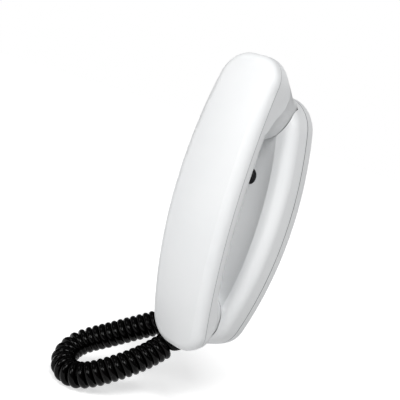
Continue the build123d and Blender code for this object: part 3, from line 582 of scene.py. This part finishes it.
# %% Finishes of the inner parts
zinc = plain_finish(
    "zinc_plate",
    dark=(0.52, 0.53, 0.54),
    light=(0.66, 0.67, 0.66),
    gloss=(0.24, 0.40),
    metal=1.0,
    drift=300.0,
    grain=1800.0,
)
spring_wire = plain_finish(
    "spring_wire",
    dark=(0.50, 0.50, 0.51),
    light=(0.60, 0.60, 0.61),
    gloss=(0.20, 0.34),
    metal=1.0,
    drift=500.0,
    grain=2500.0,
)
plain_steel = plain_finish(
    "plain_steel",
    dark=(0.36, 0.36, 0.36),
    light=(0.48, 0.47, 0.46),
    gloss=(0.32, 0.52),
    metal=1.0,
    drift=90.0,
    grain=700.0,
)
satin_aluminium = plain_finish(
    "satin_aluminium",
    dark=(0.70, 0.70, 0.71),
    light=(0.80, 0.80, 0.81),
    gloss=(0.28, 0.4),
    metal=1.0,
)
nylon = plain_finish(
    "natural_nylon",
    dark=(0.72, 0.70, 0.63),
    light=(0.80, 0.78, 0.71),
    gloss=(0.35, 0.5),
)
solder_mask = plain_finish(
    "solder_mask",
    dark=(0.010, 0.085, 0.030),
    light=(0.016, 0.120, 0.042),
    gloss=(0.22, 0.34),
)
green_plastic = plain_finish(
    "green_plastic",
    dark=(0.020, 0.170, 0.060),
    light=(0.028, 0.210, 0.075),
    gloss=(0.35, 0.5),
)
grey_vinyl = plain_finish(
    "grey_vinyl",
    dark=(0.12, 0.12, 0.125),
    light=(0.17, 0.17, 0.175),
    gloss=(0.4, 0.55),
)
print("made the metals, nylon, board, terminal and lead finishes")

# %% [markdown]
# Dressing the pieces
#
# The imported record says which finish each CAD piece takes, by the name of a slot, so one table
# from slot to material dresses them all. The two shells of the handset then take the white with
# the painted shadow of the handset's own seam. Moulded edges are never quite sharp: the two big
# outer shells get a small bevel, which catches a thin line of light.

# %% Dress the pieces
EDGE_RADIUS = 0.5 * MILLIMETRE
EDGE_SEGMENTS = 2
SHARP_EDGE = radians(50)

FINISHES = {
    "white_abs": white_base,
    "cord_black": vinyl,
    "button_black": button_black,
    "black_rubber": rubber,
    "black_plastic": black_plastic,
    "natural_nylon": nylon,
    "screw_steel": zinc,
    "spring_steel": spring_wire,
    "weight_steel": plain_steel,
    "capsule_aluminium": satin_aluminium,
    "board_green": solder_mask,
    "terminal_green": green_plastic,
    "grey_lead": grey_vinyl,
}


def dress(piece, material):
    """Give a piece one material in all its slots."""
    if not piece.data.materials:
        piece.data.materials.append(material)
    for i in range(len(piece.data.materials)):
        piece.data.materials[i] = material


slot_of = {entry["node"]: entry["material_slot"] for entry in frame["record"]["subparts"]}
for name, node in nodes.items():
    dress(node, FINISHES[slot_of[name]])
for name in ("handset_cover", "handset_inner_shell"):
    dress(nodes[name], white_handset)
dress(curly_cord_tube, vinyl)
for name in ("handset_cover", "base_shell"):
    edge_round = nodes[name].modifiers.new("edge_round", "BEVEL")
    edge_round.width = EDGE_RADIUS
    edge_round.segments = EDGE_SEGMENTS
    edge_round.limit_method = "ANGLE"
    edge_round.angle_limit = SHARP_EDGE
print("dressed", len(nodes), "CAD pieces and the cord")

# %% [markdown]
# The floor
#
# The photograph is a cut-out on pure white. The floor is white too, and shows the camera some
# light of its own, so that it runs into the white all round and still keeps the phone's shadow.
# That glow grows with the distance from the phone: near it the lamps light the floor, and far
# away there is little else.

# %% Build the floor
FLOOR_HEIGHT = -145.7 * MILLIMETRE
FLOOR_SIZE = 20.0
GLOW_NEAR, GLOW_FAR = 0.10, 0.45
GLOW_LEAST, GLOW_MOST = 0.60, 1.0


def stage_floor():
    """A wide white floor under the cord, brighter to the camera than to the object."""
    build = bmesh.new()
    bmesh.ops.create_grid(build, x_segments=1, y_segments=1, size=FLOOR_SIZE)
    mesh = bpy.data.meshes.new("floor")
    build.to_mesh(mesh)
    build.free()
    floor = link(mesh, "floor")
    floor.location = (0, 0, FLOOR_HEIGHT)
    material, tree, shader = new_material("floor_white")
    shader.inputs["Base Color"].default_value = (0.82, 0.82, 0.82, 1)
    shader.inputs["Roughness"].default_value = 0.9
    rays = tree.nodes.new("ShaderNodeLightPath")
    seen = worked_out(
        tree,
        "ShaderNodeMath",
        "MAXIMUM",
        rays.outputs["Is Camera Ray"],
        rays.outputs["Is Glossy Ray"],
    )
    place = tree.nodes.new("ShaderNodeTexCoord").outputs["Object"]
    away = worked_out(tree, "ShaderNodeVectorMath", "LENGTH", place).outputs["Value"]
    amount = ranged(tree, away, GLOW_NEAR, GLOW_FAR, GLOW_LEAST, GLOW_MOST)
    lift = worked_out(tree, "ShaderNodeMath", "MULTIPLY", seen.outputs["Value"], amount)
    glow = tree.nodes.new("ShaderNodeEmission")
    glow.inputs["Color"].default_value = (1, 1, 1, 1)
    tree.links.new(lift.outputs["Value"], glow.inputs["Strength"])
    both = tree.nodes.new("ShaderNodeAddShader")
    tree.links.new(shader.outputs["BSDF"], both.inputs[0])
    tree.links.new(glow.outputs["Emission"], both.inputs[1])
    tree.links.new(both.outputs["Shader"], tree.nodes["Material Output"].inputs["Surface"])
    dress(floor, material)


stage_floor()
print("floor at", FLOOR_HEIGHT, "m, under the lowest curl")

# %% [markdown]
# Sky and lamps
#
# Three soft lamps light the phone: a strong one high on the right, which is what makes the
# shadows, one in front of it, and a weak one high on the left. A weak even sky keeps the shadows
# from going black. The camera sees that sky as pure white, which comes from the sky's colour for
# camera rays, and not from more light on the phone. The view is the Standard one, which shows
# every colour as bright as it is lit.

# %% Hang the sky and the lamps
SKY_STRENGTH = 0.12
LAMP_SIZE = 0.5
LAMP_AIM = (0, -0.03, 0.0)
LAMPS = {
    "key_lamp": {"place": (0.7, -0.7, 1.1), "power": 13.3},
    "front_lamp": {"place": (0.0, -1.35, 0.55), "power": 6.6},
    "left_lamp": {"place": (-0.7, -0.7, 1.1), "power": 2.1},
}
bpy.context.scene.view_settings.view_transform = "Standard"


def sky(strength):
    """An even pale sky for the object, which the camera sees as pure white."""
    world = bpy.data.worlds.new("sky")
    bpy.context.scene.world = world
    world.use_nodes = True
    tree = world.node_tree
    tree.nodes.clear()
    rays = tree.nodes.new("ShaderNodeLightPath")
    even = tree.nodes.new("ShaderNodeBackground")
    even.inputs["Color"].default_value = (0.96, 0.98, 1.0, 1)
    even.inputs["Strength"].default_value = strength
    shown = tree.nodes.new("ShaderNodeBackground")
    shown.inputs["Color"].default_value = (1, 1, 1, 1)
    shown.inputs["Strength"].default_value = 1.0
    mix = tree.nodes.new("ShaderNodeMixShader")
    output = tree.nodes.new("ShaderNodeOutputWorld")
    tree.links.new(rays.outputs["Is Camera Ray"], mix.inputs["Fac"])
    tree.links.new(even.outputs["Background"], mix.inputs[1])
    tree.links.new(shown.outputs["Background"], mix.inputs[2])
    tree.links.new(mix.outputs["Shader"], output.inputs["Surface"])


def lamp(name, place, power):
    """A square soft lamp at a place, turned towards the phone."""
    data = bpy.data.lights.new(name, "AREA")
    data.shape = "SQUARE"
    data.size = LAMP_SIZE
    data.energy = power
    holder = link(data, name)
    holder.location = place
    heading = Vector(LAMP_AIM) - Vector(place)
    holder.rotation_euler = heading.to_track_quat("-Z", "Y").to_euler()


sky(SKY_STRENGTH)
for name, values in LAMPS.items():
    lamp(name, **values)
print("hung a sky and", len(LAMPS), "lamps")
